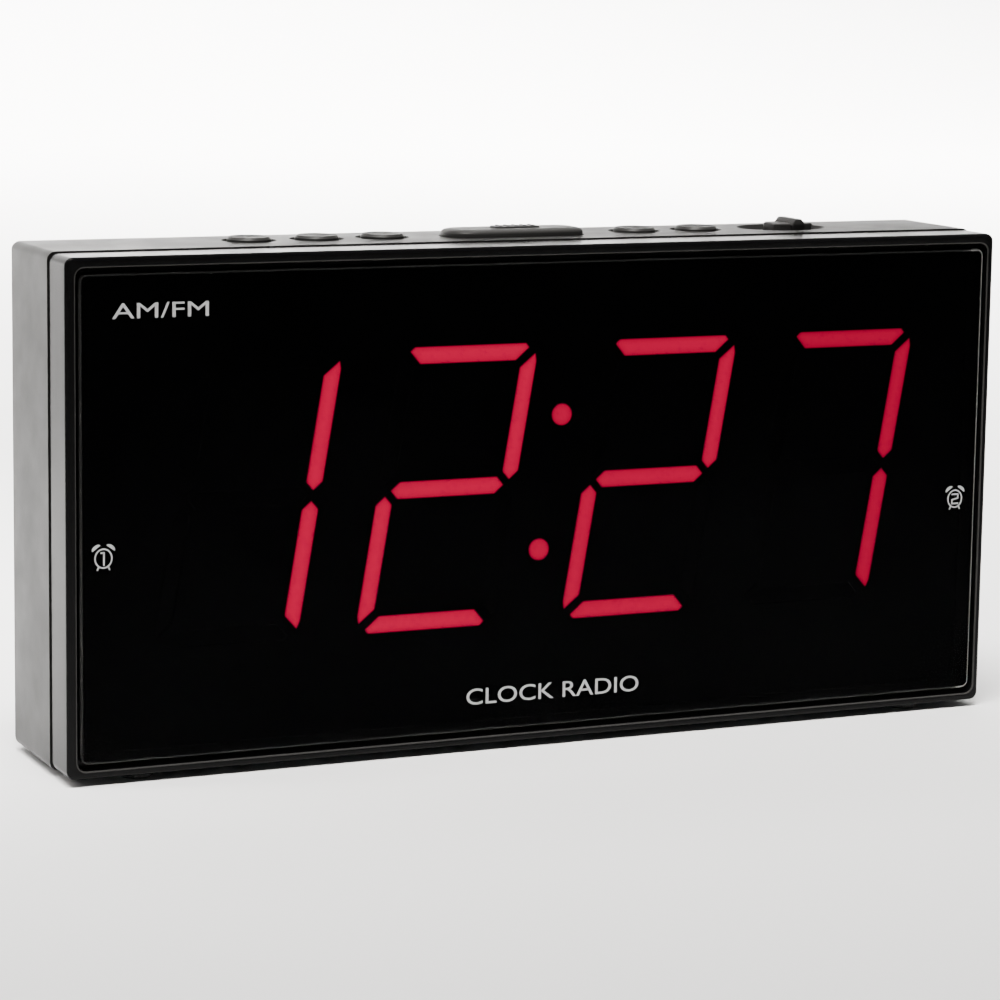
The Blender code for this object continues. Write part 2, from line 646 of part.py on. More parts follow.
def chip(name, x, z, length, width, thick, pins, pitch):
    """A package on the rear of the main board with a row of legs along each long side."""
    seat = BOARD_Y[1] + 0.1
    body = box(name, (x - length / 2, x + length / 2), (seat + 0.4, seat + thick), (z - width / 2, z + width / 2))
    legs = []
    for k in range(pins):
        px = x + (k - (pins - 1) / 2) * pitch
        for side in (-1, 1):
            low, high = sorted((z + side * (width / 2 - 0.4), z + side * (width / 2 + 1.1)))
            legs.append(box("leg", (px - 0.3, px + 0.3), (seat, seat + 0.8), (low, high)))
    add(body, joined(legs))
    return finish(body, GREY_BLACK, 0.45)


def make_main_board():
    board = plate_xz("main_board", 93.0, 66.0, 1.0, *BOARD_Y, centre=(30.5, 39.0), steps=2)
    cut(board, joined([rod("h", 1.3, -4, 0, (x, 0, z), "Y", 10) for x, z in BOARD_SCREWS]))
    finish(board, PCB_GREEN, 0.45)
    for k, (x, z) in enumerate(BOARD_SCREWS):
        screw = board_screw(f"main_board_screw_{k + 1}", (x, BOARD_Y[0] - 0.1, z), "Y", 1)
        finish(screw, STEEL, 0.3, 1.0, smooth=True)
    chip("clock_chip", 16.0, 25.0, 22.0, 8.0, 4.0, 8, 2.5)
    chip("tuner_chip", 48.0, 25.0, 11.0, 7.0, 2.4, 6, 1.7)
    chip("amplifier_chip", -6.0, 40.0, 9.0, 6.4, 3.4, 4, 2.2)
    seat = BOARD_Y[1] + 0.1
    crystal = plate_xz("quartz_crystal", 10.8, 4.4, 2.15, seat, seat + 3.4, (14.0, 14.5), rear=0.6, steps=3)
    finish(crystal, STEEL, 0.25, 1.0, smooth=True)
    can = [(0, seat), (4.0, seat), (4.0, seat + 1.2), (3.6, seat + 1.7), (4.0, seat + 2.2)]
    can += [(4.0, seat + 12.3), (3.5, seat + 12.8), (0, seat + 12.8)]
    capacitor = turned("filter_capacitor", can, (-6.0, 0, 18.0), "Y", 16)
    finish(capacitor, (0.02, 0.03, 0.12), 0.35, smooth=True)


def make_jack():
    """Coaxial inlet: a square moulding on the board, a round nose in the rear wall, a centre pin."""
    seat = BOARD_Y[1] + 0.1
    jack = box("dc_jack", (JACK_X - 5, JACK_X + 5), (seat, 9.5), (JACK_Z - 5, JACK_Z + 5))
    add(jack, rod("nose", 3.6, 9.0, REAR - 0.3, (JACK_X, 0, JACK_Z), "Y", 20))
    cut(jack, rod("bore", 2.8, 6.4, REAR + 1, (JACK_X, 0, JACK_Z), "Y", 20))
    pin = [(0, 5.8), (1.0, 5.8), (1.0, REAR - 1.4), (0.6, REAR - 1.0), (0, REAR - 1.0)]
    add(jack, turned("pin", pin, (JACK_X, 0, JACK_Z), "Y", 10))
    finish(jack, GREY_BLACK, 0.35, smooth=True)


def make_aerial():
    ferrite = [(0, -30), (3.1, -30), (3.5, -29.6), (3.5, 29.6), (3.1, 30), (0, 30)]
    bar = turned("ferrite_rod", ferrite, (-47.0, 6.0, 10.3), "X", 16)
    finish(bar, (0.03, 0.028, 0.027), 0.7, smooth=True)
    winding = [(3.8, -8), (4.6, -8), (4.6, 8), (3.8, 8)]
    coil = turned("antenna_coil", winding, (-50.0, 6.0, 10.3), "X", 16)
    finish(coil, (0.45, 0.18, 0.06), 0.4, 0.6, smooth=True)


def make_ribbons():
    back, front = BOARD_BACK + 0.4, BOARD_Y[0] - 0.4
    bend = [(back, 26.0), (back, 20.0), (back + 0.8, 18.2), ((back + front) / 2, 17.4)]
    bend += [(front - 0.8, 18.2), (front, 20.0), (front, 26.0)]
    finish(strip("display_ribbon", bend, 0.4, 22.0, 46.0), (0.5, 0.5, 0.48), 0.5)
    y = BOARD_Y[1] + 0.4
    under = KEY_PCB_BOTTOM - 0.4
    drop = [(2.6, under), (1.0, under), (-0.4, under - 0.9), (y, under - 2.6), (y, under - 12.0)]
    finish(strip("key_ribbon", drop, 0.4, 2.0, 20.0), (0.5, 0.5, 0.48), 0.5)


# --- speaker ---


def make_speaker():
    seat = REAR - WALL - 0.1
    centre = (SPEAKER_X, 0, SPEAKER_Z)
    basket = [
        (26.4, seat),
        (26.4, seat - 1.4),
        (22.8, seat - 2.1),
        (15.2, 4.2),
        (15.2, 2.4),
        (8.2, 2.4),
        (8.2, 3.4),
        (13.9, 3.4),
        (14.2, 4.6),
        (21.5, 11.6),
        (21.5, seat),
    ]
    finish(turned("speaker_frame", basket, centre, "Y", 24), (0.32, 0.33, 0.34), 0.35, 0.8, smooth=True)
    magnet = [(0, -5.2), (11.2, -5.2), (12.0, -4.4), (12.0, 2.1), (0, 2.1)]
    finish(turned("speaker_magnet", magnet, centre, "Y", 20), (0.06, 0.06, 0.06), 0.5, 0.4, smooth=True)
    outer = seat - 0.6
    cone = [
        (0, 7.4),
        (4.4, 6.4),
        (7.6, 4.9),
        (17.6, outer - 2.2),
        (19.0, outer - 0.5),
        (20.9, outer - 0.5),
        (20.9, outer),
        (18.7, outer),
        (17.2, outer - 1.6),
        (7.6, 5.5),
        (4.6, 7.0),
        (0, 8.0),
    ]
    finish(turned("speaker_cone", cone, centre, "Y", 24), (0.03, 0.03, 0.032), 0.85, smooth=True)


# --- backup battery ---


def make_battery():
    inner = REAR - WALL - 0.2
    tray = plate_xz("battery_tray", BAY_W + 8.0, BAY_H + 8.0, 1.5, inner - 1.2, inner, (BAY_X, BAY_Z), steps=2)
    add(tray, plate_xz("t", BAY_W + 2.8, BAY_H + 2.8, 1.2, 1.2, inner - 0.6, (BAY_X, BAY_Z), steps=2))
    cut(tray, plate_xz("c", BAY_W, BAY_H, 0.8, 2.5, inner + 1, (BAY_X, BAY_Z), steps=2))
    finish(tray, GREY_BLACK, 0.4)
    can = [(0, -22.0), (4.8, -22.0), (5.15, -21.6), (5.15, 20.4), (4.8, 20.8), (1.9, 20.8), (1.9, 22.0), (0, 22.0)]
    y = 7.9
    for k, side in enumerate((1, -1)):
        z = BAY_Z + side * 5.6
        flipped = [(r, side * h) for r, h in can]
        cell = turned(f"battery_cell_{k + 1}", flipped, (BAY_X - side * 0.9, y, z), "X", 16)
        finish(cell, (0.05, 0.16, 0.3), 0.3, 0.5, smooth=True)
        # The spring fills the space between the flat end and the bay's end wall.
        start = (BAY_X - side * 25.0, y, z)
        spring = coil_spring(f"battery_spring_{k + 1}", start, side * 1.7, (3.8, 2.6), 2.5, 0.32)
        finish(spring, STEEL, 0.25, 1.0, smooth=True)
    height = DOOR_H - 0.85
    door = box(
        "battery_door",
        (BAY_X - DOOR_W / 2, BAY_X + DOOR_W / 2),
        (DOOR_AXIS_Y - 0.85, DOOR_AXIS_Y + 0.85),
        (DOOR_AXIS_Z, DOOR_AXIS_Z + height),
    )
    half = DOOR_W / 2
    add(door, rod("barrel", 0.85, BAY_X - half, BAY_X + half, (0, DOOR_AXIS_Y, DOOR_AXIS_Z), "X", 16))
    ends = (BAY_X - half - 1.4, BAY_X + half + 1.4)
    add(door, rod("pin", 0.5, *ends, (0, DOOR_AXIS_Y, DOOR_AXIS_Z), "X", 10))
    # Three shallow grip grooves near the latch edge.
    for k in range(3):
        z = DOOR_AXIS_Z + height - 3.5 - 1.6 * k
        span = (BAY_X - 6.0, BAY_X + 6.0)
        cut(door, box("groove", span, (DOOR_AXIS_Y + 0.5, DOOR_AXIS_Y + 1.2), (z - 0.4, z + 0.4)))
    finish(door, BLACK, 0.35, smooth=True, origin=(BAY_X, DOOR_AXIS_Y, DOOR_AXIS_Z))


# --- feet and case screws ---


def make_feet():
    for k, (x, y) in enumerate(FEET):
        profile = [(0, 0), (2.7, 0), (3.0, 0.3), (3.0, FOOT + 0.4), (0, FOOT + 0.4)]
        foot = turned(f"rubber_foot_{k + 1}", profile, (x, y, 0), segments=16)
        finish(foot, RUBBER, 0.8, smooth=True)


def make_case_screws():
    for k, (x, z) in enumerate(SCREW_POSTS):
        profile = [(0, -10.0), (0.7, -10.0), (1.2, -9.2), (1.2, 3.1), (2.5, 3.1), (2.5, 4.3), (1.7, 5.0), (0, 5.0)]
        screw = turned(f"case_screw_{k + 1}", profile, (x, 0, z), "Y", segments=12)
        for across, tall in ((1.5, 0.3), (0.3, 1.5)):
            cut(screw, box("cross", (x - across, x + across), (4.0, 6.0), (z - tall, z + tall)))
        finish(screw, STEEL, 0.3, 1.0, smooth=True)


def main():
    clear_scene()
    make_bezel()
    make_lens()
    make_mask()
    make_light_guide()
    make_display_board()
    make_shell()
    make_keys()
    make_snooze()
    make_slide_switch()
    make_key_board()
    make_main_board()
    make_jack()
    make_aerial()
    make_ribbons()
    make_speaker()
    make_battery()
    make_feet()
    make_case_screws()


main()
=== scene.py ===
"""Looks for the clock radio: materials, the lit display, prints, floor, lights and camera."""

import json
import math

import bmesh
import bpy
from mathutils import Matrix, Vector


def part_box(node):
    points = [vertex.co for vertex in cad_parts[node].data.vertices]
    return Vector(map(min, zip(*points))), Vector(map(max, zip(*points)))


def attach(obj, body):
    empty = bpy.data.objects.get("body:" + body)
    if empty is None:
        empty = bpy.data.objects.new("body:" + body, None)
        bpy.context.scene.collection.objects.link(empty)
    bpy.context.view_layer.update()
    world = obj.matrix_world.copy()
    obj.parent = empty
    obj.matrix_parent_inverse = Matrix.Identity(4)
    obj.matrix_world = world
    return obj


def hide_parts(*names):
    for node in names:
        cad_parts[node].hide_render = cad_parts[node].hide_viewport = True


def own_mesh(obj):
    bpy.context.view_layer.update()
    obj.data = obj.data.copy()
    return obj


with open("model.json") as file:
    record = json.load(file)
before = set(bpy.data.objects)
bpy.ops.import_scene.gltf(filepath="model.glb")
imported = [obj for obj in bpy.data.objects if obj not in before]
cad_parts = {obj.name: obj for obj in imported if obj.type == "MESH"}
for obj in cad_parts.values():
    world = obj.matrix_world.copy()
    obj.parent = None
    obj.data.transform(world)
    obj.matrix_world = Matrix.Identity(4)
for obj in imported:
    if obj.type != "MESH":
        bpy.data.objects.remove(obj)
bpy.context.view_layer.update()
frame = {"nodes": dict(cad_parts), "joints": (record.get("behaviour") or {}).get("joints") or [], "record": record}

MM = 0.001

# Digits, as the housing's display is laid out (millimetres)
DIGIT_W, DIGIT_H, STROKE, SLANT = 26.4, 50.2, 3.05, 0.168
DIGIT_X = (-56.4, -19.3, 20.4, 57.2)
BODY_BOTTOM = 1.0
DIGIT_Z = BODY_BOTTOM + 46.25
COLON = ((2.7, BODY_BOTTOM + 58.3), (-1.4, BODY_BOTTOM + 34.2))
COLON_R = 2.0

# The bezel's window: middle in X and Z, width and height
WINDOW = (0.3, BODY_BOTTOM + 44.3, 176.4, 85.3)

# Corner radii of that window and of the lens (metres)
WINDOW_CORNER, LENS_CORNER = 0.0016, 0.0014

# Vertices closer than this are joined (metres)
WELD = 1e-7

# Slightly warm studio lamps
WARM = (1.0, 0.98, 0.955)

# Camera: turn to the right, tilt down and roll (degrees), place (metres), lens and sensor (millimetres)
YAW, PITCH, ROLL = 24.285, 8.849, 0.798
CAMERA_PLACE = (-0.25641, -0.55649, 0.14272)
LENS_LENGTH, SENSOR = 123.1, 36.0
SHIFT = (0.0106, -0.0295)


# --- objects and meshes ---


def linked(name, data):
    """A new object, in the scene's collection."""
    piece = bpy.data.objects.new(name, data)
    bpy.context.scene.collection.objects.link(piece)
    return piece


def link_piece(name, mesh, material, body):
    """A visual piece of one material that rides a body."""
    piece = linked(name, mesh)
    mesh.materials.clear()
    mesh.materials.append(material)
    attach(piece, body)
    return piece


def welded(mesh):
    """The mesh's contents with coincident vertices joined, ready to edit."""
    work = bmesh.new()
    work.from_mesh(mesh)
    bmesh.ops.remove_doubles(work, verts=work.verts, dist=WELD)
    return work


def store(work, mesh):
    work.to_mesh(mesh)
    work.free()
    return mesh


# --- node materials ---


def new_material(name):
    material = bpy.data.materials.new(name)
    material.use_nodes = True
    tree = material.node_tree
    return material, tree, tree.nodes["Principled BSDF"]


def coordinates(tree, scale=(1, 1, 1)):
    source = tree.nodes.new("ShaderNodeTexCoord")
    mapping = tree.nodes.new("ShaderNodeMapping")
    mapping.inputs["Scale"].default_value = scale
    tree.links.new(source.outputs["Object"], mapping.inputs["Vector"])
    return mapping.outputs["Vector"]


def noise(tree, vector, scale, detail=3.0, roughness=0.5):
    node = tree.nodes.new("ShaderNodeTexNoise")
    node.inputs["Scale"].default_value = scale
    node.inputs["Detail"].default_value = detail
    node.inputs["Roughness"].default_value = roughness
    tree.links.new(vector, node.inputs["Vector"])
    return node.outputs["Fac"]


def ramp(tree, value, stops):
    node = tree.nodes.new("ShaderNodeValToRGB")
    elements = node.color_ramp.elements
    while len(elements) < len(stops):
        elements.new(0.5)
    for element, (position, colour) in zip(elements, stops):
        element.position = position
        element.color = (*colour, 1)
    tree.links.new(value, node.inputs["Fac"])
    return node.outputs["Color"]


def remap(tree, value, low, high, start=0.3, end=0.7):
    node = tree.nodes.new("ShaderNodeMapRange")
    node.inputs["From Min"].default_value = start
    node.inputs["From Max"].default_value = end
    node.inputs["To Min"].default_value = low
    node.inputs["To Max"].default_value = high
    tree.links.new(value, node.inputs["Value"])
    return node.outputs["Result"]


def maths(tree, operation, *values):
    node = tree.nodes.new("ShaderNodeMath")
    node.operation = operation
    for socket, value in zip(node.inputs, values):
        if isinstance(value, float):
            socket.default_value = value
        else:
            tree.links.new(value, socket)
    return node.outputs["Value"]


def bump(tree, shader, height, strength, distance):
    node = tree.nodes.new("ShaderNodeBump")
    node.inputs["Strength"].default_value = strength
    node.inputs["Distance"].default_value = distance
    tree.links.new(height, node.inputs["Height"])
    tree.links.new(node.outputs["Normal"], shader.inputs["Normal"])


def scaled(colour, factor):
    return tuple(min(c * factor, 1.0) for c in colour)


def moulded(name, colour, rough, grain=0.0, spread=0.15, level=0.5):
    """Moulded plastic: slight tone drift, patchy gloss from handling, and a fine spark-eroded grain."""
    material, tree, shader = new_material(name)
    vector = coordinates(tree)
    drift = noise(tree, vector, 60.0)
    tones = [(0.3, scaled(colour, 1 - spread)), (0.7, scaled(colour, 1 + spread))]
    tree.links.new(ramp(tree, drift, tones), shader.inputs["Base Color"])
    patches = noise(tree, vector, 140.0, 4.0)
    tree.links.new(remap(tree, patches, rough[0], rough[1]), shader.inputs["Roughness"])
    if grain:
        bump(tree, shader, noise(tree, vector, 2500.0, 2.0), grain, 0.00004)
    shader.inputs["Specular IOR Level"].default_value = level
    return material


def metal(name, colour, rough=(0.22, 0.4), brushed=(1, 1, 1)):
    """Plated or bare metal with fine drawn lines along the axis whose scale is smallest."""
    material, tree, shader = new_material(name)
    lines = noise(tree, coordinates(tree, brushed), 900.0, 4.0)
    tones = [(0.25, scaled(colour, 0.8)), (0.75, scaled(colour, 1.1))]
    tree.links.new(ramp(tree, lines, tones), shader.inputs["Base Color"])
    tree.links.new(remap(tree, lines, *rough), shader.inputs["Roughness"])
    bump(tree, shader, lines, 0.1, 0.00003)
    shader.inputs["Metallic"].default_value = 1.0
    return material


def circuit_board(name):
    """Green solder resist over faint copper tracks."""
    material, tree, shader = new_material(name)
    vector = coordinates(tree)
    weave = noise(tree, vector, 700.0, 4.0)
    base = ramp(tree, weave, [(0.3, (0.004, 0.05, 0.018)), (0.7, (0.008, 0.085, 0.03))])
    bricks = tree.nodes.new("ShaderNodeTexBrick")
    bricks.inputs["Scale"].default_value = 160.0
    bricks.inputs["Mortar Size"].default_value = 0.06
    for face in ("Color1", "Color2"):
        bricks.inputs[face].default_value = (0, 0, 0, 1)
    bricks.inputs["Mortar"].default_value = (1, 1, 1, 1)
    tree.links.new(vector, bricks.inputs["Vector"])
    mix = tree.nodes.new("ShaderNodeMix")
    mix.data_type = "RGBA"
    mix.inputs["B"].default_value = (0.03, 0.16, 0.05, 1)
    tree.links.new(bricks.outputs["Color"], mix.inputs["Factor"])
    tree.links.new(base, mix.inputs["A"])
    tree.links.new(mix.outputs["Result"], shader.inputs["Base Color"])
    tree.links.new(remap(tree, weave, 0.3, 0.5), shader.inputs["Roughness"])
    return material


def winding(name):
    """Enamelled copper wire, close wound about the X axis."""
    material, tree, shader = new_material(name)
    wave = tree.nodes.new("ShaderNodeTexWave")
    wave.bands_direction = "X"
    wave.inputs["Scale"].default_value = 700.0
    wave.inputs["Distortion"].default_value = 0.4
    tree.links.new(coordinates(tree), wave.inputs["Vector"])
    tones = [(0.0, (0.12, 0.035, 0.012)), (1.0, (0.62, 0.24, 0.08))]
    tree.links.new(ramp(tree, wave.outputs["Fac"], tones), shader.inputs["Base Color"])
    tree.links.new(remap(tree, wave.outputs["Fac"], 0.5, 0.25, 0, 1), shader.inputs["Roughness"])
    bump(tree, shader, wave.outputs["Fac"], 0.5, 0.0001)
    shader.inputs["Metallic"].default_value = 0.8
    return material


def ribbon(name):
    """Grey flat cable: parallel cores under PVC, running across X."""
    material, tree, shader = new_material(name)
    wave = tree.nodes.new("ShaderNodeTexWave")
    wave.bands_direction = "X"
    wave.inputs["Scale"].default_value = 125.0
    tree.links.new(coordinates(tree), wave.inputs["Vector"])
    tones = [(0.0, (0.2, 0.2, 0.19)), (0.5, (0.42, 0.42, 0.4)), (1.0, (0.55, 0.55, 0.52))]
    tree.links.new(ramp(tree, wave.outputs["Fac"], tones), shader.inputs["Base Color"])
    tree.links.new(remap(tree, wave.outputs["Fac"], 0.6, 0.4, 0, 1), shader.inputs["Roughness"])
    bump(tree, shader, wave.outputs["Fac"], 0.6, 0.0002)
    return material


def pressed_paper(name):
    """Speaker cone: fibrous black pulp."""
    material, tree, shader = new_material(name)
    fibres = noise(tree, coordinates(tree, (1, 3, 1)), 900.0, 6.0, 0.7)
    tones = [(0.3, (0.008, 0.008, 0.009)), (0.75, (0.05, 0.05, 0.052))]
    tree.links.new(ramp(tree, fibres, tones), shader.inputs["Base Color"])
    tree.links.new(remap(tree, fibres, 0.75, 0.95), shader.inputs["Roughness"])
    bump(tree, shader, fibres, 0.5, 0.0002)
    return material


def border_distance(tree, split, low, high, radius):
    """How far a point lies outside a rounded rectangle in X and Z; negative inside."""
    squares = []
    for axis, a, b in (("X", low.x, high.x), ("Z", low.z, high.z)):
        offset = maths(tree, "SUBTRACT", split.outputs[axis], (a + b) / 2)
        distance = maths(tree, "ABSOLUTE", offset)
        beyond = maths(tree, "SUBTRACT", distance, (b - a) / 2 - radius)
        beyond = maths(tree, "MAXIMUM", beyond, 0.0)
        squares.append(maths(tree, "MULTIPLY", beyond, beyond))
    length = maths(tree, "SQRT", maths(tree, "ADD", *squares))
    return maths(tree, "SUBTRACT", length, radius)


def bezel_gloss(name, painted_highlight_tone):
    """Glossy black plastic with a painted highlight: the window's eased front edge is given a paler colour."""
    material = moulded(name, (0.003, 0.003, 0.0031), (0.16, 0.24), level=0.06)
    tree = material.node_tree
    shader = tree.nodes["Principled BSDF"]
    body = shader.inputs["Base Color"].links[0].from_socket
    split = tree.nodes.new("ShaderNodeSeparateXYZ")
    tree.links.new(coordinates(tree), split.inputs["Vector"])
    reach = Vector((WINDOW[2] / 2 * MM, 0, WINDOW[3] / 2 * MM))
    centre = Vector((WINDOW[0] * MM, 0, WINDOW[1] * MM))
    border = border_distance(tree, split, centre - reach, centre + reach, WINDOW_CORNER)
    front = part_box("front_bezel")[0].y
    # Painted highlight: within about 0.2 mm of the window's front edge the colour turns paler, standing in for the
    # light the eased edge catches.
    highlight_band = remap(tree, border, 1.0, 0.0, 0.0002, 0.0003)
    forward = remap(tree, split.outputs["Y"], 1.0, 0.0, front + 0.0002, front + 0.0003)
    edge = tree.nodes.new("ShaderNodeMix")
    edge.data_type = "RGBA"
    edge.inputs["B"].default_value = (*painted_highlight_tone, 1)
    tree.links.new(maths(tree, "MULTIPLY", highlight_band, forward), edge.inputs["Factor"])
    tree.links.new(body, edge.inputs["A"])
    tree.links.new(edge.outputs["Result"], shader.inputs["Base Color"])
    return material


def smoked_lens(name):
    """Dark smoked acrylic that lets part of the segments' light through, with a painted highlight on its front
    bevel that is brighter towards its right end.
    """
    material, tree, shader = new_material(name)
    vector = coordinates(tree)
    drift = noise(tree, vector, 25.0)
    body = ramp(tree, drift, [(0.3, (0.0005, 0.0005, 0.0006)), (0.7, (0.0009, 0.0009, 0.001))])
    low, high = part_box("display_lens")
    split = tree.nodes.new("ShaderNodeSeparateXYZ")
    tree.links.new(vector, split.inputs["Vector"])
    border = border_distance(tree, split, low, high, LENS_CORNER)
    # Painted highlight: the lens's front bevel takes a paler colour, dim along most of it and rising to bright
    # over the last few millimetres at its right end.
    edge = tree.nodes.new("ShaderNodeMix")
    edge.data_type = "RGBA"
    tones = [(0.0, (0.045, 0.045, 0.044)), (1.0, (0.32, 0.32, 0.31))]
    across = remap(tree, split.outputs["X"], 0.0, 1.0, high.x - 0.004, high.x - 0.002)
    tree.links.new(ramp(tree, across, tones), edge.inputs["B"])
    highlight_rim = remap(tree, border, 0.0, 1.0, -0.0005, -0.0003)
    forward = remap(tree, split.outputs["Y"], 1.0, 0.0, low.y + 0.0005, low.y + 0.0007)
    tree.links.new(maths(tree, "MULTIPLY", highlight_rim, forward), edge.inputs["Factor"])
    tree.links.new(body, edge.inputs["A"])
    tree.links.new(edge.outputs["Result"], shader.inputs["Base Color"])
    smears = noise(tree, vector, 90.0, 4.0)
    tree.links.new(remap(tree, smears, 0.05, 0.11), shader.inputs["Roughness"])
    shader.inputs["Specular IOR Level"].default_value = 0.015
    shader.inputs["Alpha"].default_value = 0.6
    return material


def glowing(name, strength):
    """A lit segment: hot along its middle, falling off to its edges and ends."""
    material, tree, shader = new_material(name)
    shader.inputs["Base Color"].default_value = (0.01, 0.0, 0.001, 1)
    shader.inputs["Roughness"].default_value = 0.6
    shader.inputs["Specular IOR Level"].default_value = 0.0
    glow = tree.nodes.new("ShaderNodeAttribute")
    glow.attribute_name = "glow"
    stops = [(0.0, (0.52, 0.0, 0.038)), (0.4, (0.74, 0.0, 0.056)), (1.0, (0.9, 0.0, 0.072))]
    tree.links.new(ramp(tree, glow.outputs["Fac"], stops), shader.inputs["Emission Color"])
    shader.inputs["Emission Strength"].default_value = strength
    return material


def printed(name):
    """Screen-printed light grey ink with a slightly uneven lay-down, and a faint painted glow that lightens it
    whatever the lamps.
    """
    material, tree, shader = new_material(name)
    lay = noise(tree, coordinates(tree), 1500.0, 3.0)
    tones = [(0.3, (0.3, 0.3, 0.3)), (0.7, (0.42, 0.42, 0.42))]
    tree.links.new(ramp(tree, lay, tones), shader.inputs["Base Color"])
    tree.links.new(remap(tree, lay, 0.55, 0.75), shader.inputs["Roughness"])
    # Painted light: the ink glows faintly, though it is no lamp.
    shader.inputs["Emission Color"].default_value = (0.8, 0.8, 0.8, 1)
    shader.inputs["Emission Strength"].default_value = 0.12
    return material


def dress_nodes():
    """Gives every CAD node its material by the record's slot."""
    looks = {
        # The second colour is a painted highlight along the bezel's window edge.
        "gloss_housing": bezel_gloss("gloss_housing", (0.035, 0.034, 0.033)),
        "shell_plastic": moulded(
            "shell_plastic", (0.011, 0.0108, 0.0105), (0.34, 0.42), 0.25, spread=0.06, level=0.11
        ),
        "smoked_lens": smoked_lens("smoked_lens"),
        "mask_plastic": moulded("mask_plastic", (0.0008, 0.0008, 0.0008), (0.8, 0.9), level=0.0),
        "diffuser_red": moulded("diffuser_red", (0.0012, 0.0006, 0.0006), (0.7, 0.85), level=0.0),
        "circuit_board": circuit_board("circuit_board"),
        "key_plastic": moulded(
            "key_plastic", (0.02, 0.0196, 0.019), (0.34, 0.44), 0.15, spread=0.08, level=0.1
        ),
        "grip_plastic": moulded("grip_plastic", (0.014, 0.014, 0.014), (0.42, 0.55), 0.3),
        "lever_plastic": moulded("lever_plastic", (0.42, 0.41, 0.38), (0.4, 0.55), 0.1),
        "dome_rubber": moulded("dome_rubber", (0.3, 0.3, 0.29), (0.5, 0.65), 0.1),
        "foot_rubber": moulded("foot_rubber", (0.018, 0.018, 0.018), (0.7, 0.9), 0.4),
        "package_black": moulded("package_black", (0.02, 0.02, 0.021), (0.4, 0.55), 0.3),
        "plated_steel": metal("plated_steel", (0.6, 0.6, 0.61)),
        "capacitor_sleeve": moulded("capacitor_sleeve", (0.02, 0.03, 0.12), (0.3, 0.4)),
        "ferrite": moulded("ferrite", (0.03, 0.028, 0.027), (0.6, 0.8), 0.4),
        "copper_winding": winding("copper_winding"),
        "ribbon_pvc": ribbon("ribbon_pvc"),
        "speaker_steel": metal("speaker_steel", (0.42, 0.43, 0.45), (0.3, 0.5), (1, 20, 1)),
        "magnet_ferrite": moulded("magnet_ferrite", (0.06, 0.06, 0.06), (0.5, 0.7), 0.4),
        "cone_paper": pressed_paper("cone_paper"),
        "cell_sleeve": moulded("cell_sleeve", (0.05, 0.16, 0.3), (0.25, 0.35), spread=0.25),
    }
    slots = {s["node"]: s["material_slot"] for s in frame["record"]["subparts"]}
    for name, node in frame["nodes"].items():
        for slot in node.material_slots:
            slot.link = "OBJECT"
            slot.material = looks[slots[name]]
    return looks


# --- the lit display ---


def segment_outlines():
    """The seven segments of one digit about its centre, as (u, w) outlines in a to g order."""
    half_w, half_h, stroke = DIGIT_W / 2, DIGIT_H / 2, STROKE
    inner = half_w - stroke
    centre = half_w - stroke / 2
    top = [
        (-centre + 2.55, half_h - stroke),
        (centre - 2.55, half_h - stroke),
        (centre - 0.3, half_h - 0.8),
        (centre - 1.05, half_h),
        (-centre + 1.05, half_h),
        (-centre + 0.3, half_h - 0.8),
    ]
    side = [
        (inner, half_h - 4.3),
        (inner, 2.4),
        (centre, 0.9),
        (half_w, 2.4),
        (half_w, half_h - 3.2),
        (half_w - 0.45, half_h - 1.85),
    ]
    reach = centre - 0.9
    middle = [
        (-reach, 0.0),
        (-reach + stroke / 2, -stroke / 2),
        (reach - stroke / 2, -stroke / 2),
        (reach, 0.0),
        (reach - stroke / 2, stroke / 2),
        (-reach + stroke / 2, stroke / 2),
    ]

    def flipped(outline, sx, sz):
        return [(sx * u, sz * w) for u, w in outline]

    return {
        "a": top,
        "b": side,
        "c": flipped(side, 1, -1),
        "d": flipped(top, 1, -1),
        "e": flipped(side, -1, -1),
        "f": flipped(side, -1, 1),
        "g": middle,
    }


def inset_outline(outline, amount):
    """A convex outline with every edge moved inwards by amount, turned anticlockwise."""
    area = sum(a[0] * b[1] - b[0] * a[1] for a, b in zip(outline, outline[1:] + outline[:1]))
    ordered = outline if area > 0 else outline[::-1]
    count = len(ordered)
    moved = []
    for i in range(count):
        lines = []
        for a, b in ((ordered[i - 1], ordered[i]), (ordered[i], ordered[(i + 1) % count])):
            dx, dy = b[0] - a[0], b[1] - a[1]
            length = math.hypot(dx, dy)
            normal = (-dy / length, dx / length)
            lines.append((normal, normal[0] * a[0] + normal[1] * a[1] + amount))
        (n1, c1), (n2, c2) = lines
        det = n1[0] * n2[1] - n1[1] * n2[0]
        moved.append(((c1 * n2[1] - c2 * n1[1]) / det, (n1[0] * c2 - n2[0] * c1) / det))
    return moved


def stepped_tile(mesh, rings, levels, front, back):
    """A thin tile whose front is ringed by nested outlines, each with its own glow value."""
    layer = mesh.verts.layers.float["glow"]
    rows = []
    for ring, level in zip(rings, levels):
        row = [mesh.verts.new((x * MM, front * MM, z * MM)) for x, z in ring]
        for vertex in row:
            vertex[layer] = level
        rows.append(row)
    rear = [mesh.verts.new((x * MM, back * MM, z * MM)) for x, z in rings[0]]
    count = len(rear)
    for outer, inner in zip([rear] + rows[:-1], rows):
        for i in range(count):
            j = (i + 1) % count
            mesh.faces.new((outer[i], outer[j], inner[j], inner[i]))
    mesh.faces.new(rows[-1])
    mesh.faces.new(rear[::-1])


def lit_piece(name, outlines, front, back, strength):
    """One emissive piece from a list of outlines, each a convex (x, z) loop."""
    work = bmesh.new()
    work.verts.layers.float.new("glow")
    for outline in outlines:
        rings = [inset_outline(outline, d) for d in (0.0, 0.35, 0.8, 1.25)]
        stepped_tile(work, rings, (0.0, 0.45, 0.85, 1.0), front, back)
    bmesh.ops.recalc_face_normals(work, faces=work.faces)
    mesh = store(work, bpy.data.meshes.new(name))
    link_piece(name, mesh, glowing(name, strength), "housing")


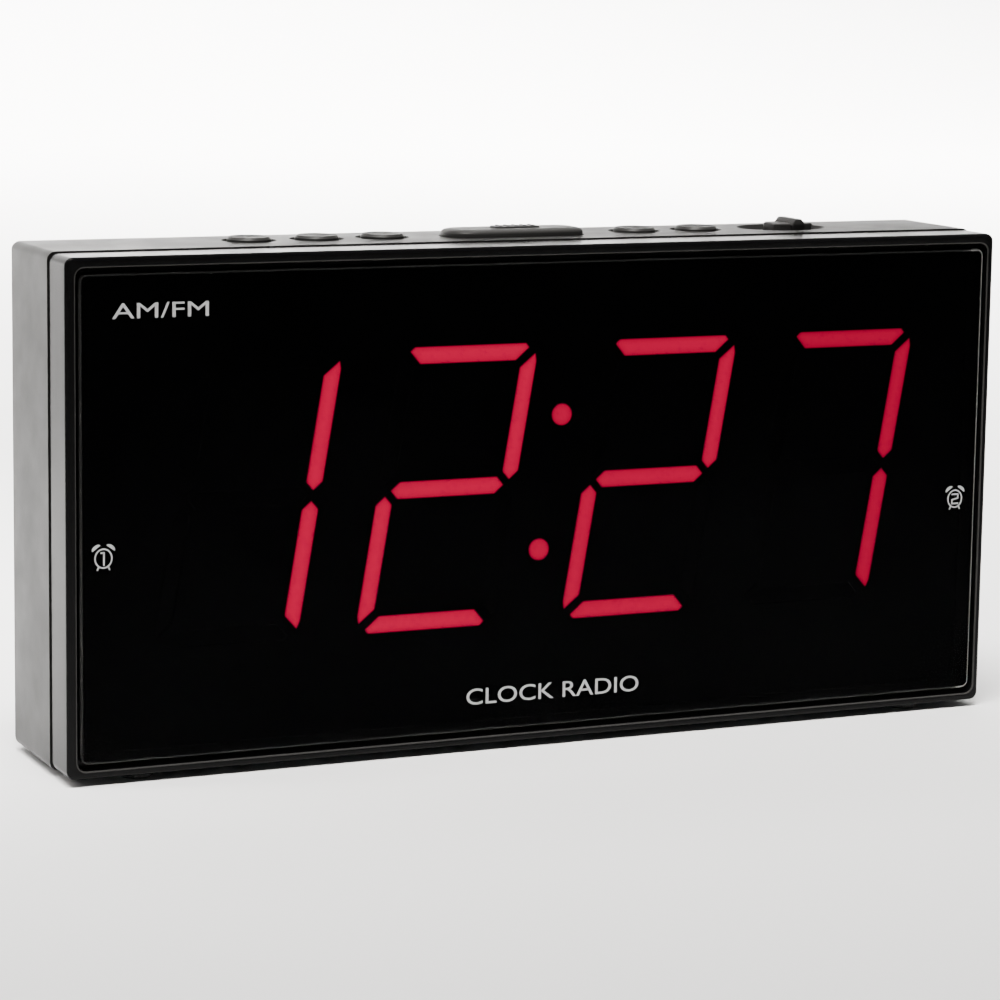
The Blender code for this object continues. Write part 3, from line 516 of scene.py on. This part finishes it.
def light_display():
    """Twelve twenty-seven, in tiles that fill the mask's windows in front of the diffuser's pads."""
    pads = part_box("segment_light_guide")[0].y / MM
    front, back = pads - 0.22, pads - 0.04
    clearance = 0.05
    digits = (
        ("lit_hours_tens", DIGIT_X[0], "bc", 5.0),
        ("lit_hours_units", DIGIT_X[1], "abged", 5.0),
        ("lit_minutes_tens", DIGIT_X[2], "abged", 4.5),
        ("lit_minutes_units", DIGIT_X[3], "abc", 3.7),
    )
    shapes = segment_outlines()
    for name, x, lit, strength in digits:
        outlines = []
        for key in lit:
            placed = [(x + u + SLANT * w, DIGIT_Z + w) for u, w in shapes[key]]
            outlines.append(inset_outline(placed, clearance))
        lit_piece(name, outlines, front, back, strength)
    dots = []
    turns = [2 * math.pi * i / 20 for i in range(20)]
    radius = COLON_R - clearance
    for x, z in COLON:
        dots.append([(x + radius * math.cos(t), z + radius * math.sin(t)) for t in turns])
    lit_piece("lit_colon", dots, front, back, 4.4)


# --- prints on the lens ---


def flat_piece(name, parts, front, material):
    """Thin prints: closed tiles from (outer, inner or None) outlines in (x, z) millimetres."""
    work = bmesh.new()
    thick = 0.02
    for outer, inner in parts:
        loops = []
        for y in (front, front + thick):
            rings = [ring for ring in (outer, inner) if ring]
            loops.append([[work.verts.new((x * MM, y * MM, z * MM)) for x, z in r] for r in rings])
        count = len(outer)
        for k, ring in enumerate(loops[0]):
            other = loops[1][k]
            for i in range(count):
                j = (i + 1) % count
                work.faces.new((ring[i], ring[j], other[j], other[i]))
        for side in loops:
            if inner:
                for i in range(count):
                    j = (i + 1) % count
                    work.faces.new((side[0][i], side[0][j], side[1][j], side[1][i]))
            else:
                work.faces.new(side[0])
    bmesh.ops.recalc_face_normals(work, faces=work.faces)
    mesh = store(work, bpy.data.meshes.new(name))
    link_piece(name, mesh, material, "housing")


def ellipse(x, z, rx, rz, turn=0.0, count=28):
    """An ellipse about (x, z), turned anticlockwise."""
    points = []
    cos, sin = math.cos(turn), math.sin(turn)
    for i in range(count):
        angle = 2 * math.pi * i / count
        u, w = rx * math.cos(angle), rz * math.sin(angle)
        points.append((x + u * cos - w * sin, z + u * sin + w * cos))
    return points


def bar(x0, z0, x1, z1, width):
    """A short straight stroke as a four-cornered outline."""
    dx, dz = x1 - x0, z1 - z0
    length = math.hypot(dx, dz)
    nx, nz = -dz / length * width / 2, dx / length * width / 2
    return [(x0 + nx, z0 + nz), (x1 + nx, z1 + nz), (x1 - nx, z1 - nz), (x0 - nx, z0 - nz)]


def half_ellipse(x, z, rx, rz, turn, count=12):
    """The upper half of an ellipse, closed along its flat side and turned about the middle of it."""
    full = ellipse(x, z, rx, rz, turn, 2 * count)
    return full[: count + 1]


def alarm_icon(name, x, z, numeral, front, material):
    """A little twin-bell alarm clock with a numeral on its face."""
    parts = [(ellipse(x, z, 1.6, 1.73), ellipse(x, z, 1.36, 1.49))]
    for side in (-1, 1):
        bell = half_ellipse(x + side * 1.25, z + 1.74, 0.88, 0.55, -side * math.radians(36))
        parts.append((bell, None))
        parts.append((bar(x + side * 0.84, z - 1.45, x + side * 1.12, z - 2.0, 0.26), None))
    strokes = {
        1: [(-0.4, 0.95, 0.05, 1.0), (0.08, 1.0, 0.08, -1.1)],
        2: [(-0.6, 0.85, 0.6, 0.85), (0.66, 0.8, 0.66, 0.15), (0.62, 0.08, -0.55, -0.18),
            (-0.6, -0.22, -0.6, -0.9), (-0.55, -0.92, 0.66, -0.9)],
    }
    overrun, thickness = 0.12, 0.28
    for x0, z0, x1, z1 in strokes[numeral]:
        length = math.hypot(x1 - x0, z1 - z0)
        ex, ez = (x1 - x0) / length * overrun, (z1 - z0) / length * overrun
        parts.append((bar(x + x0 - ex, z + z0 - ez, x + x1 + ex, z + z1 + ez, thickness), None))
    flat_piece(name, parts, front, material)


def word(name, text, x, z, height, width, front, material):
    """Generic lettering in the built-in face, stretched to one width, as a thin solid."""
    curve = bpy.data.curves.new(name, "FONT")
    curve.body = text
    curve.align_x = "CENTER"
    curve.align_y = "CENTER"
    curve.resolution_u = 4
    half_thick = 0.01 * MM
    curve.extrude = half_thick
    source = linked(name, curve)
    bpy.context.view_layer.update()
    graph = bpy.context.evaluated_depsgraph_get()
    mesh = bpy.data.meshes.new_from_object(source.evaluated_get(graph))
    bpy.data.objects.remove(source)
    points = [v.co.copy() for v in mesh.vertices]
    low = Vector([min(p[i] for p in points) for i in range(3)])
    high = Vector([max(p[i] for p in points) for i in range(3)])
    middle = (low + high) / 2
    sx = width * MM / (high.x - low.x)
    sy = height * MM / (high.y - low.y)
    for vertex in mesh.vertices:
        p = vertex.co - middle
        vertex.co = (x * MM + p.x * sx, front * MM + half_thick - p.z, z * MM + p.y * sy)
    work = welded(mesh)
    bmesh.ops.recalc_face_normals(work, faces=work.faces)
    link_piece(name, store(work, mesh), material, "housing")


def print_lens():
    """Two generic legends and the two alarm signs, just off the lens's front."""
    ink = printed("lens_ink")
    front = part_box("display_lens")[0].y / MM - 0.03
    alarm_icon("alarm_icon_1", -83.15, BODY_BOTTOM + 38.0, 1, front, ink)
    alarm_icon("alarm_icon_2", 83.4, BODY_BOTTOM + 39.1, 2, front, ink)
    word("band_print", "AM/FM", -73.0, BODY_BOTTOM + 79.6, 2.6, 17.0, front, ink)
    word("type_print", "CLOCK RADIO", 0.8, BODY_BOTTOM + 8.9, 2.9, 34.0, front, ink)


# --- key domes that the record lists as flattening under their keys ---


def soften_domes(material):
    """Copies of the domes that the joints list as deforming, in the given material, in place of the CAD domes."""
    for joint in frame["joints"]:
        for entry in joint.get("deforming_nodes") or []:
            node = frame["nodes"][entry["node"]]
            copy = linked("soft_" + entry["node"], node.data.copy())
            copy.matrix_world = node.matrix_world
            copy.data.materials.clear()
            copy.data.materials.append(material)
            for polygon in copy.data.polygons:
                polygon.material_index = 0
            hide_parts(entry["node"])
            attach(copy, "housing")
            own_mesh(copy)


# --- softly shaded skins over the faceted CAD nodes ---


def soften_edges(mesh):
    """Welds the facets, then shades across shallow edges with normals weighted by face area."""
    store(welded(mesh), mesh)
    mesh.shade_smooth()
    mesh.set_sharp_from_angle(angle=math.radians(34.0))
    holder = linked("holder", mesh)
    weighting = holder.modifiers.new("weighting", "WEIGHTED_NORMAL")
    weighting.keep_sharp = True
    graph = bpy.context.evaluated_depsgraph_get()
    result = bpy.data.meshes.new_from_object(holder.evaluated_get(graph))
    bpy.data.objects.remove(holder)
    return result


def ease_window(mesh, front):
    """Eases the window's sharp front edge by 0.3 mm."""
    work = welded(mesh)
    work.normal_update()
    sharp = math.radians(80)
    in_front = front + 0.01 * MM
    edges = []
    for edge in work.edges:
        if len(edge.link_faces) == 2 and edge.calc_face_angle() > sharp:
            if all(v.co.y < in_front for v in edge.verts):
                edges.append(edge)
    bmesh.ops.bevel(work, geom=edges, offset=0.3 * MM, segments=2, profile=0.5, affect="EDGES")
    store(work, mesh)


def skin_nodes(looks):
    """A smooth-shaded copy in place of each node that has rounded edges in plain view."""
    slots = {s["node"]: s["material_slot"] for s in frame["record"]["subparts"]}
    keys = ("time_set", "tune_down", "tune_up", "alarm_1", "alarm_2")
    bodies = {f"{key}_button": f"{key}_button" for key in keys}
    bodies.update(snooze_bar="snooze_bar", snooze_pad="snooze_bar", slide_knob="slide_knob")
    for name in ("front_bezel", "rear_shell", "display_lens", "dc_jack"):
        bodies[name] = "housing"
    for name, body in bodies.items():
        node = frame["nodes"][name]
        points = [node.matrix_world @ v.co for v in node.data.vertices]
        faces = [tuple(p.vertices) for p in node.data.polygons]
        mesh = bpy.data.meshes.new("skin_" + name)
        mesh.from_pydata(points, [], faces)
        if name == "front_bezel":
            ease_window(mesh, min(p.y for p in points))
        slot = slots[name]
        piece = link_piece("skin_" + name, soften_edges(mesh), looks[slot], body)
        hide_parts(name)


def cell_look(name, flipped):
    """Shrink sleeve in two blues with bare steel at both ends, along the cell from its flat end."""
    material, tree, shader = new_material(name)
    source = tree.nodes.new("ShaderNodeTexCoord")
    split = tree.nodes.new("ShaderNodeSeparateXYZ")
    tree.links.new(source.outputs["Generated"], split.inputs["Vector"])
    along = split.outputs["X"]
    if flipped:
        along = maths(tree, "SUBTRACT", 1.0, along)
    steel, dark, pale = (0.55, 0.55, 0.56), (0.012, 0.035, 0.1), (0.05, 0.19, 0.38)
    stops = [(0.0, steel), (0.015, dark), (0.3, pale), (0.34, dark), (0.955, steel)]
    bands = ramp(tree, along, stops)
    bands.node.color_ramp.interpolation = "CONSTANT"
    tree.links.new(bands, shader.inputs["Base Color"])
    gloss = noise(tree, coordinates(tree), 300.0)
    tree.links.new(remap(tree, gloss, 0.24, 0.34), shader.inputs["Roughness"])
    return material


def make_cells():
    """Round backup cells in place of the many-sided ones."""
    ring = 40
    for number, flipped in ((1, False), (2, True)):
        name = f"battery_cell_{number}"
        low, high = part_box(name)
        centre, radius = (low + high) / 2, (high.z - low.z) / 2
        half = (high.x - low.x) / 2
        shoulder, nub, nub_radius, nub_edge = 0.00035, 0.0012, 0.0019, 0.0002
        profile = [(0, -half), (radius - shoulder, -half), (radius, -half + shoulder)]
        profile += [(radius, half - nub - shoulder), (radius - shoulder, half - nub)]
        profile += [(nub_radius, half - nub), (nub_radius, half - nub_edge)]
        profile += [(nub_radius - nub_edge, half), (0, half)]
        way = -1 if flipped else 1
        work = bmesh.new()
        rows = []
        for r, x in profile:
            row = []
            for i in range(ring if r else 1):
                turn = 2 * math.pi * i / ring
                offset = Vector((way * x, r * math.cos(turn), r * math.sin(turn)))
                row.append(work.verts.new(centre + offset))
            rows.append(row)
        for a, b in zip(rows, rows[1:]):
            for i in range(ring):
                j = (i + 1) % ring
                corners = [a[i % len(a)], a[j % len(a)], b[j % len(b)], b[i % len(b)]]
                work.faces.new(list(dict.fromkeys(corners)))
        bmesh.ops.recalc_face_normals(work, faces=work.faces)
        mesh = store(work, bpy.data.meshes.new("round_" + name))
        material = cell_look(f"cell_sleeve_{number}", flipped)
        piece = link_piece("round_" + name, soften_edges(mesh), material, "housing")
        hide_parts(name)


# --- stage ---


def build_sweep():
    """A pale floor that curves up into a backdrop well behind the object."""
    bend_start, bend_radius, steps = 1.6, 1.2, 12
    profile = [(-4.0, 0.0), (bend_start, 0.0)]
    for i in range(1, steps + 1):
        angle = math.radians(90 * i / steps)
        y = bend_start + bend_radius * math.sin(angle)
        profile.append((y, bend_radius * (1 - math.cos(angle))))
    profile.append((bend_start + bend_radius, 3.5))
    mesh = bpy.data.meshes.new("sweep")
    points = [(x, y, z) for y, z in profile for x in (-5.0, 5.0)]
    faces = [(2 * i, 2 * i + 1, 2 * i + 3, 2 * i + 2) for i in range(len(profile) - 1)]
    mesh.from_pydata(points, [], faces)
    for polygon in mesh.polygons:
        polygon.use_smooth = True
    sweep = linked("sweep", mesh)
    material, tree, shader = new_material("sweep")
    drift = noise(tree, coordinates(tree), 2.0)
    tones = [(0.3, (0.86, 0.86, 0.86)), (0.7, (0.88, 0.88, 0.88))]
    tree.links.new(ramp(tree, drift, tones), shader.inputs["Base Color"])
    shader.inputs["Roughness"].default_value = 0.9
    shader.inputs["Specular IOR Level"].default_value = 0.05
    mesh.materials.append(material)


def place_light(data, position, target):
    light = linked(data.name, data)
    light.location = position
    direction = Vector(target) - Vector(position)
    light.rotation_euler = direction.to_track_quat("-Z", "Y").to_euler()


def area_light(name, position, target, size, watts, spread=math.pi):
    data = bpy.data.lights.new(name, "AREA")
    data.shape = "RECTANGLE"
    data.size, data.size_y = size
    data.energy = watts
    data.color = WARM
    data.spread = spread
    place_light(data, position, target)


def spot_light(name, position, target, degrees, blend, softness, watts):
    data = bpy.data.lights.new(name, "SPOT")
    data.energy = watts
    data.color = WARM
    data.spot_size = math.radians(degrees)
    data.spot_blend = blend
    data.shadow_soft_size = softness
    place_light(data, position, target)


def build_lights():
    """A bright sweep behind the object, lit from above, and a dimmer room in front of it."""
    world = bpy.data.worlds.new("studio")
    bpy.context.scene.world = world
    world.use_nodes = True
    tree = world.node_tree
    source = tree.nodes.new("ShaderNodeTexCoord")
    split = tree.nodes.new("ShaderNodeSeparateXYZ")
    tree.links.new(source.outputs["Generated"], split.inputs["Vector"])
    backwards = remap(tree, split.outputs["Y"], 0.0, 1.0, -0.6, 0.6)
    level = ramp(tree, backwards, [(0.0, scaled(WARM, 0.07)), (1.0, scaled(WARM, 0.9))])
    upwards = remap(tree, split.outputs["Z"], 0.0, 1.0, 0.1, 0.8)
    overhead = ramp(tree, upwards, [(0.0, (1.0,) * 3), (1.0, (0.2,) * 3)])
    shade = tree.nodes.new("ShaderNodeMix")
    shade.data_type = "RGBA"
    shade.blend_type = "MULTIPLY"
    shade.inputs["Factor"].default_value = 1.0
    tree.links.new(level, shade.inputs["A"])
    tree.links.new(overhead, shade.inputs["B"])
    background = tree.nodes["Background"]
    tree.links.new(shade.outputs["Result"], background.inputs["Color"])
    background.inputs["Strength"].default_value = 1.0
    area_light("sweep_box", (0.7, 1.4, 1.7), (0.8, 1.6, 0.0), (2.8, 1.0), 230, math.radians(100))
    area_light("left_box", (-1.1, 0.7, 0.9), (-0.5, 0.35, 0.0), (0.8, 0.8), 9)
    spot_light("floor_pool", (-0.2, -0.25, 1.5), (0.08, 0.3, 0.0), 42, 0.35, 0.35, 340)
    spot_light("left_pool", (-0.45, 0.14, 0.75), (-0.18, 0.17, 0.0), 30, 0.7, 0.1, 62)


def build_camera():
    yaw, pitch, roll = (math.radians(a) for a in (YAW, PITCH, ROLL))
    cos_pitch = math.cos(pitch)
    forward = Vector((math.sin(yaw) * cos_pitch, math.cos(yaw) * cos_pitch, -math.sin(pitch)))
    level = Vector((math.cos(yaw), -math.sin(yaw), 0))
    upright = level.cross(forward)
    right = math.cos(roll) * level + math.sin(roll) * upright
    up = -math.sin(roll) * level + math.cos(roll) * upright
    data = bpy.data.cameras.new("camera")
    data.sensor_width = SENSOR
    data.lens = LENS_LENGTH
    data.shift_x, data.shift_y = SHIFT
    data.clip_start = 0.01
    camera = linked("camera", data)
    turn = Matrix((right, up, -forward)).transposed().to_4x4()
    camera.matrix_world = Matrix.Translation(CAMERA_PLACE) @ turn
    bpy.context.scene.camera = camera


looks = dress_nodes()
light_display()
print_lens()
soften_domes(looks["dome_rubber"])
skin_nodes(looks)
make_cells()
build_sweep()
build_lights()
build_camera()
